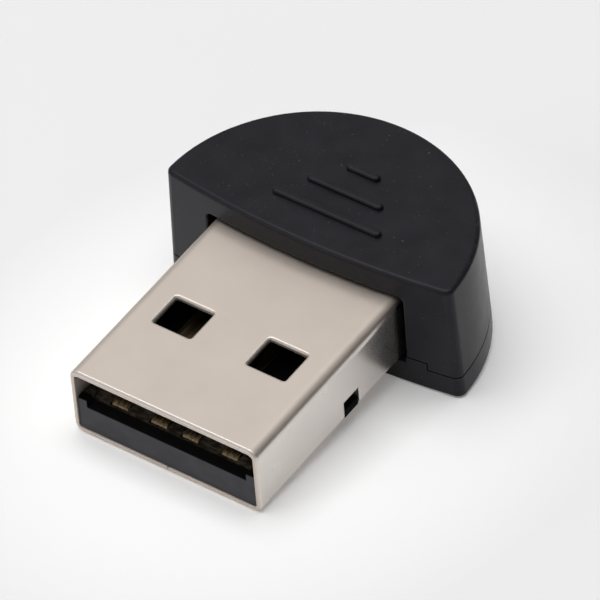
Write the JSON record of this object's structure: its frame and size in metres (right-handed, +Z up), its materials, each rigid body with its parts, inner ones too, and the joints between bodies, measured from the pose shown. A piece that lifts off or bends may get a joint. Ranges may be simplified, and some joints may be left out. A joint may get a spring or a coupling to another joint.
{
  "type": "usb wireless adapter",
  "caption": "Small plug-in wireless adapter: flat folded-steel plug with tongue and contacts, on a black half-moon casing with raised grip ribs.",
  "frame": {"origin": "on the casing's flat underside, in the middle of the overall width and length", "axes": "+Z up out of the roof with the grip ribs, +Y from the plug's mouth to the round back, +X across the plug"},
  "size_m": [0.0188, 0.023, 0.008],
  "materials": {
    "casing_plastic": "satin black moulding",
    "shell_steel": "satin nickel plate",
    "insulator_plastic": "dark grey moulding",
    "gold_contact": "thin gold plate",
    "board_laminate": "green solder mask",
    "chip_resin": "moulded resin",
    "can_metal": "plated lid",
    "gold_copper": "plated copper trace",
    "solder": "bright solder",
    "tan_ceramic": "fired ceramic",
    "dark_ceramic": "fired ceramic"
  },
  "bodies": {
    "root": {"antenna_trace": "gold_copper", "capacitor_1": "tan_ceramic", "capacitor_2": "tan_ceramic", "capacitor_3": "tan_ceramic", "capacitor_4": "tan_ceramic", "capacitor_5": "tan_ceramic", "capacitor_6": "tan_ceramic", "circuit_board": "board_laminate", "coil": "dark_ceramic", "contact_data_minus": "gold_contact", "contact_data_plus": "gold_contact", "contact_ground": "gold_contact", "contact_power": "gold_contact", "crystal_can": "can_metal", "leg_solder": "solder", "lower_cover": "casing_plastic", "memory_chip": "chip_resin", "plug_insulator": "insulator_plastic", "plug_shell": "shell_steel", "radio_chip": "chip_resin", "resistor_1": "dark_ceramic", "resistor_2": "dark_ceramic", "resistor_3": "dark_ceramic", "resistor_4": "dark_ceramic", "tail_solder": "solder", "upper_casing": "casing_plastic", "voltage_regulator": "chip_resin"}
  },
  "joints": []
}
